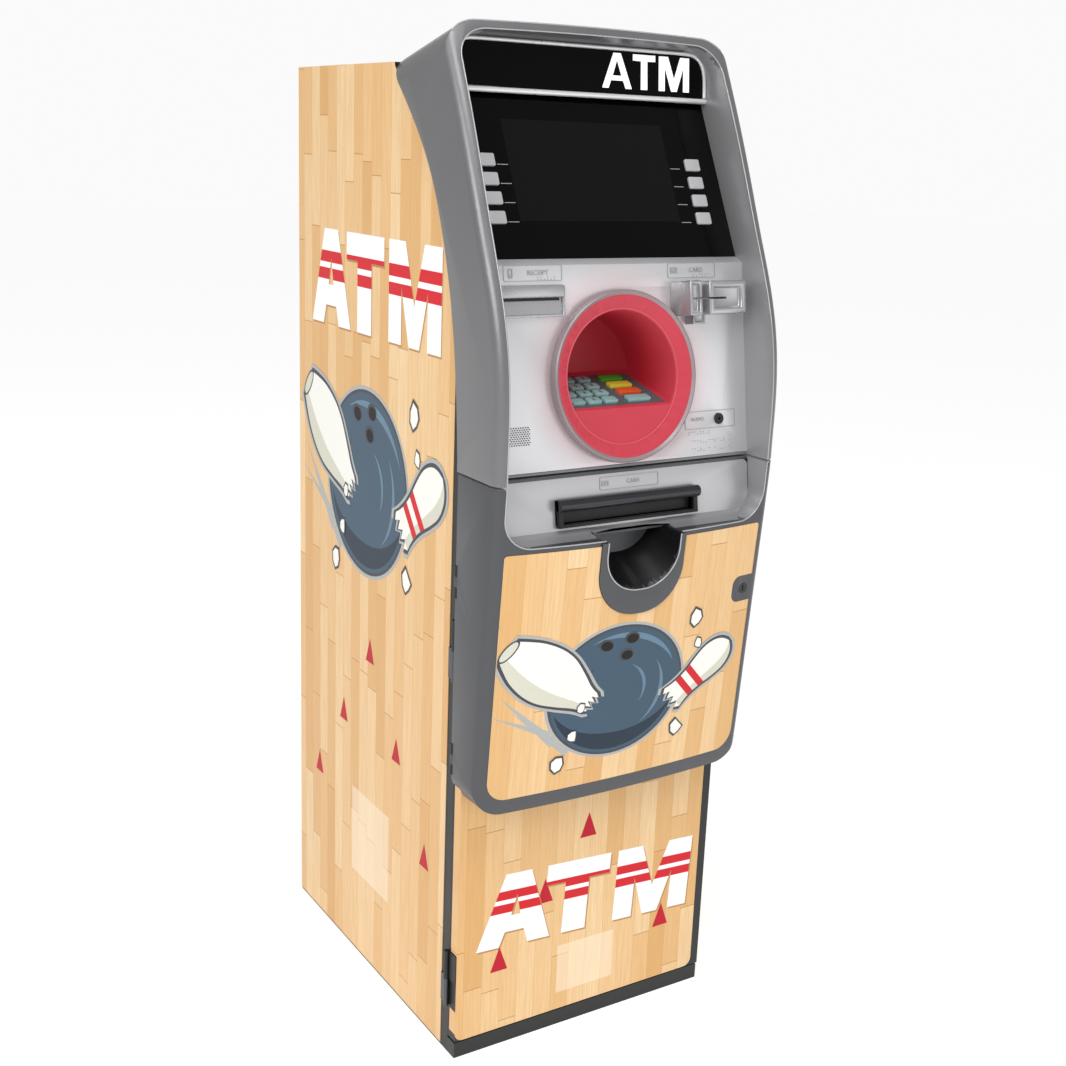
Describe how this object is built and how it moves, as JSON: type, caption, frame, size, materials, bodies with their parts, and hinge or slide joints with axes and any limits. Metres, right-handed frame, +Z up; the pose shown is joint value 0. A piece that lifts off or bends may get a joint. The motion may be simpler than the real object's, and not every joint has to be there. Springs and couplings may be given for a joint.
{
  "type": "cash machine",
  "caption": "Free-standing cash machine with a bowed grey fascia, round key pad hood, leaning screen, cash slot with scoop tray and a steel safe behind a hinged door.",
  "frame": {"origin": "on the floor, at the centre of the four anchor bolt holes in the safe floor", "axes": "+Z up, -Y towards the customer, +X to the customer's right"},
  "size_m": [0.4131, 0.5939, 1.2985],
  "materials": {
    "safe_steel": "satin black",
    "cabinet_steel": "satin black",
    "toe_black": "satin",
    "wood_vinyl": "printed vinyl",
    "hinge_steel": "satin",
    "zinc_steel": "zinc plated",
    "dark_steel": "satin",
    "roller_rubber": "matt",
    "cassette_plastic": "satin",
    "paper": "matt",
    "fascia_grey": "fine texture",
    "fascia_dark": "fine texture",
    "silver_plastic": "silver satin",
    "screen_black": "gloss",
    "display_black": "gloss",
    "hood_red": "satin, lit",
    "pad_metal": "satin",
    "key_metal": "satin",
    "key_green": "satin",
    "key_yellow": "satin",
    "key_orange": "satin",
    "slot_black": "satin",
    "lock_chrome": "polished",
    "computer_case": "satin"
  },
  "bodies": {
    "cabinet": {"safe_body": "safe_steel", "upper_cabinet": "cabinet_steel", "rear_panel": "cabinet_steel", "base_plinth": "toe_black", "side_wraps": "wood_vinyl", "hinge_pins": "hinge_steel", "dispenser_frame": "zinc_steel", "cash_cassette": "cassette_plastic", "printer_frame": "dark_steel", "computer_box": "computer_case"},
    "safe_door": {"safe_door": "safe_steel", "safe_door_wrap": "wood_vinyl", "boltwork_cover": "dark_steel"},
    "lower_fascia": {"lower_fascia_shell": "fascia_dark", "lower_fascia_wrap": "wood_vinyl", "dispense_panel": "silver_plastic", "cash_tray": "slot_black", "cash_slot_hood": "slot_black"},
    "upper_fascia": {"upper_fascia_shell": "fascia_grey", "control_panel": "silver_plastic", "screen_glass": "screen_black", "lcd_module": "display_black", "sign_panel": "display_black", "keypad_surround": "hood_red", "keypad_body": "pad_metal", "card_reader": "silver_plastic", "receipt_bezel": "silver_plastic", "audio_unit": "slot_black"},
    "paper_roll": {"paper_roll": "paper"},
    "pick_roller": {"pick_roller": "roller_rubber"},
    "feed_roller": {"feed_roller": "roller_rubber"},
    "lock_dial": {"lock_dial": "lock_chrome"},
    "door_handle": {"door_handle": "lock_chrome"},
    "locking_bolts": {"locking_bolts": "zinc_steel"},
    "key_lock": {"key_lock": "lock_chrome"},
    "cash_shutter": {"cash_shutter": "slot_black"},
    "function_key_left_1": {"function_key_left_1": "silver_plastic"},
    "function_key_left_2": {"function_key_left_2": "silver_plastic"},
    "function_key_left_3": {"function_key_left_3": "silver_plastic"},
    "function_key_left_4": {"function_key_left_4": "silver_plastic"},
    "function_key_right_1": {"function_key_right_1": "silver_plastic"},
    "function_key_right_2": {"function_key_right_2": "silver_plastic"},
    "function_key_right_3": {"function_key_right_3": "silver_plastic"},
    "function_key_right_4": {"function_key_right_4": "silver_plastic"},
    "pin_key_row1_col1": {"pin_key_row1_col1": "key_metal"},
    "pin_key_row1_col2": {"pin_key_row1_col2": "key_metal"},
    "pin_key_row1_col3": {"pin_key_row1_col3": "key_metal"},
    "pin_key_row2_col1": {"pin_key_row2_col1": "key_metal"},
    "pin_key_row2_col2": {"pin_key_row2_col2": "key_metal"},
    "pin_key_row2_col3": {"pin_key_row2_col3": "key_metal"},
    "pin_key_row3_col1": {"pin_key_row3_col1": "key_metal"},
    "pin_key_row3_col2": {"pin_key_row3_col2": "key_metal"},
    "pin_key_row3_col3": {"pin_key_row3_col3": "key_metal"},
    "pin_key_row4_col1": {"pin_key_row4_col1": "key_metal"},
    "pin_key_row4_col2": {"pin_key_row4_col2": "key_metal"},
    "pin_key_row4_col3": {"pin_key_row4_col3": "key_metal"},
    "pin_key_cancel": {"pin_key_cancel": "key_orange"},
    "pin_key_clear": {"pin_key_clear": "key_yellow"},
    "pin_key_enter": {"pin_key_enter": "key_green"},
    "pin_key_blank": {"pin_key_blank": "key_metal"}
  },
  "joints": [
    {"name": "safe_door_hinge", "type": "hinge", "parent": "cabinet", "child": "safe_door", "pos_m": [-0.203, -0.248, 0.335], "axis": [0, 0, -1], "range_deg": [0, 90]},
    {"name": "lower_fascia_hinge", "type": "hinge", "parent": "safe_door", "child": "lower_fascia", "pos_m": [-0.2045, -0.2525, 0.535], "axis": [0, 0, -1], "range_deg": [0, 75]},
    {"name": "upper_fascia_hinge", "type": "hinge", "parent": "cabinet", "child": "upper_fascia", "pos_m": [0, -0.066, 1.257], "axis": [-1, 0, 0], "range_deg": [0, 60]},
    {"name": "handle_turn", "type": "hinge", "parent": "safe_door", "child": "door_handle", "pos_m": [0.1, -0.27, 0.47], "axis": [0, -1, 0], "range_deg": [0, 90]},
    {"name": "bolt_throw", "type": "slide", "parent": "safe_door", "child": "locking_bolts", "axis": [1, 0, 0], "range_m": [0, 0.0165]},
    {"name": "dial_turn", "type": "hinge", "parent": "safe_door", "child": "lock_dial", "pos_m": [0.1, -0.27, 0.56], "axis": [0, -1, 0], "continuous": true},
    {"name": "key_turn", "type": "hinge", "parent": "lower_fascia", "child": "key_lock", "pos_m": [0.176, -0.332, 0.614], "axis": [0, -1, 0], "range_deg": [0, 90]},
    {"name": "shutter_slide", "type": "slide", "parent": "lower_fascia", "child": "cash_shutter", "axis": [0, 0.1499, 0.9887], "range_m": [0, 0.017]},
    {"name": "paper_spin", "type": "hinge", "parent": "cabinet", "child": "paper_roll", "pos_m": [-0.14, -0.1, 0.905], "axis": [1, 0, 0], "continuous": true},
    {"name": "pick_spin", "type": "hinge", "parent": "cabinet", "child": "pick_roller", "pos_m": [0, -0.15, 0.61], "axis": [1, 0, 0], "continuous": true},
    {"name": "feed_spin", "type": "hinge", "parent": "cabinet", "child": "feed_roller", "pos_m": [0, -0.15, 0.6463], "axis": [1, 0, 0], "continuous": true},
    {"name": "function_key_left_1_press", "type": "slide", "parent": "upper_fascia", "child": "function_key_left_1", "axis": [0, 0.9039, -0.4277], "range_m": [0, 0.0015], "stiffness_N_per_m": 400},
    {"name": "function_key_left_2_press", "type": "slide", "parent": "upper_fascia", "child": "function_key_left_2", "axis": [0, 0.9039, -0.4277], "range_m": [0, 0.0015], "stiffness_N_per_m": 400},
    {"name": "function_key_left_3_press", "type": "slide", "parent": "upper_fascia", "child": "function_key_left_3", "axis": [0, 0.9039, -0.4277], "range_m": [0, 0.0015], "stiffness_N_per_m": 400},
    {"name": "function_key_left_4_press", "type": "slide", "parent": "upper_fascia", "child": "function_key_left_4", "axis": [0, 0.9039, -0.4277], "range_m": [0, 0.0015], "stiffness_N_per_m": 400},
    {"name": "function_key_right_1_press", "type": "slide", "parent": "upper_fascia", "child": "function_key_right_1", "axis": [0, 0.9039, -0.4277], "range_m": [0, 0.0015], "stiffness_N_per_m": 400},
    {"name": "function_key_right_2_press", "type": "slide", "parent": "upper_fascia", "child": "function_key_right_2", "axis": [0, 0.9039, -0.4277], "range_m": [0, 0.0015], "stiffness_N_per_m": 400},
    {"name": "function_key_right_3_press", "type": "slide", "parent": "upper_fascia", "child": "function_key_right_3", "axis": [0, 0.9039, -0.4277], "range_m": [0, 0.0015], "stiffness_N_per_m": 400},
    {"name": "function_key_right_4_press", "type": "slide", "parent": "upper_fascia", "child": "function_key_right_4", "axis": [0, 0.9039, -0.4277], "range_m": [0, 0.0015], "stiffness_N_per_m": 400},
    {"name": "pin_key_row1_col1_press", "type": "slide", "parent": "upper_fascia", "child": "pin_key_row1_col1", "axis": [0, 0.2351, -0.972], "range_m": [0, 0.002], "stiffness_N_per_m": 400},
    {"name": "pin_key_row1_col2_press", "type": "slide", "parent": "upper_fascia", "child": "pin_key_row1_col2", "axis": [0, 0.2351, -0.972], "range_m": [0, 0.002], "stiffness_N_per_m": 400},
    {"name": "pin_key_row1_col3_press", "type": "slide", "parent": "upper_fascia", "child": "pin_key_row1_col3", "axis": [0, 0.2351, -0.972], "range_m": [0, 0.002], "stiffness_N_per_m": 400},
    {"name": "pin_key_row2_col1_press", "type": "slide", "parent": "upper_fascia", "child": "pin_key_row2_col1", "axis": [0, 0.2351, -0.972], "range_m": [0, 0.002], "stiffness_N_per_m": 400},
    {"name": "pin_key_row2_col2_press", "type": "slide", "parent": "upper_fascia", "child": "pin_key_row2_col2", "axis": [0, 0.2351, -0.972], "range_m": [0, 0.002], "stiffness_N_per_m": 400},
    {"name": "pin_key_row2_col3_press", "type": "slide", "parent": "upper_fascia", "child": "pin_key_row2_col3", "axis": [0, 0.2351, -0.972], "range_m": [0, 0.002], "stiffness_N_per_m": 400},
    {"name": "pin_key_row3_col1_press", "type": "slide", "parent": "upper_fascia", "child": "pin_key_row3_col1", "axis": [0, 0.2351, -0.972], "range_m": [0, 0.002], "stiffness_N_per_m": 400},
    {"name": "pin_key_row3_col2_press", "type": "slide", "parent": "upper_fascia", "child": "pin_key_row3_col2", "axis": [0, 0.2351, -0.972], "range_m": [0, 0.002], "stiffness_N_per_m": 400},
    {"name": "pin_key_row3_col3_press", "type": "slide", "parent": "upper_fascia", "child": "pin_key_row3_col3", "axis": [0, 0.2351, -0.972], "range_m": [0, 0.002], "stiffness_N_per_m": 400},
    {"name": "pin_key_row4_col1_press", "type": "slide", "parent": "upper_fascia", "child": "pin_key_row4_col1", "axis": [0, 0.2351, -0.972], "range_m": [0, 0.002], "stiffness_N_per_m": 400},
    {"name": "pin_key_row4_col2_press", "type": "slide", "parent": "upper_fascia", "child": "pin_key_row4_col2", "axis": [0, 0.2351, -0.972], "range_m": [0, 0.002], "stiffness_N_per_m": 400},
    {"name": "pin_key_row4_col3_press", "type": "slide", "parent": "upper_fascia", "child": "pin_key_row4_col3", "axis": [0, 0.2351, -0.972], "range_m": [0, 0.002], "stiffness_N_per_m": 400},
    {"name": "pin_key_cancel_press", "type": "slide", "parent": "upper_fascia", "child": "pin_key_cancel", "axis": [0, 0.2351, -0.972], "range_m": [0, 0.002], "stiffness_N_per_m": 400},
    {"name": "pin_key_clear_press", "type": "slide", "parent": "upper_fascia", "child": "pin_key_clear", "axis": [0, 0.2351, -0.972], "range_m": [0, 0.002], "stiffness_N_per_m": 400},
    {"name": "pin_key_enter_press", "type": "slide", "parent": "upper_fascia", "child": "pin_key_enter", "axis": [0, 0.2351, -0.972], "range_m": [0, 0.002], "stiffness_N_per_m": 400},
    {"name": "pin_key_blank_press", "type": "slide", "parent": "upper_fascia", "child": "pin_key_blank", "axis": [0, 0.2351, -0.972], "range_m": [0, 0.002], "stiffness_N_per_m": 400}
  ],
  "couplings": [
    {"joint": "bolt_throw", "follows": "handle_turn", "m_per_rad": 0.010186},
    {"joint": "feed_spin", "follows": "pick_spin", "ratio": -1}
  ]
}
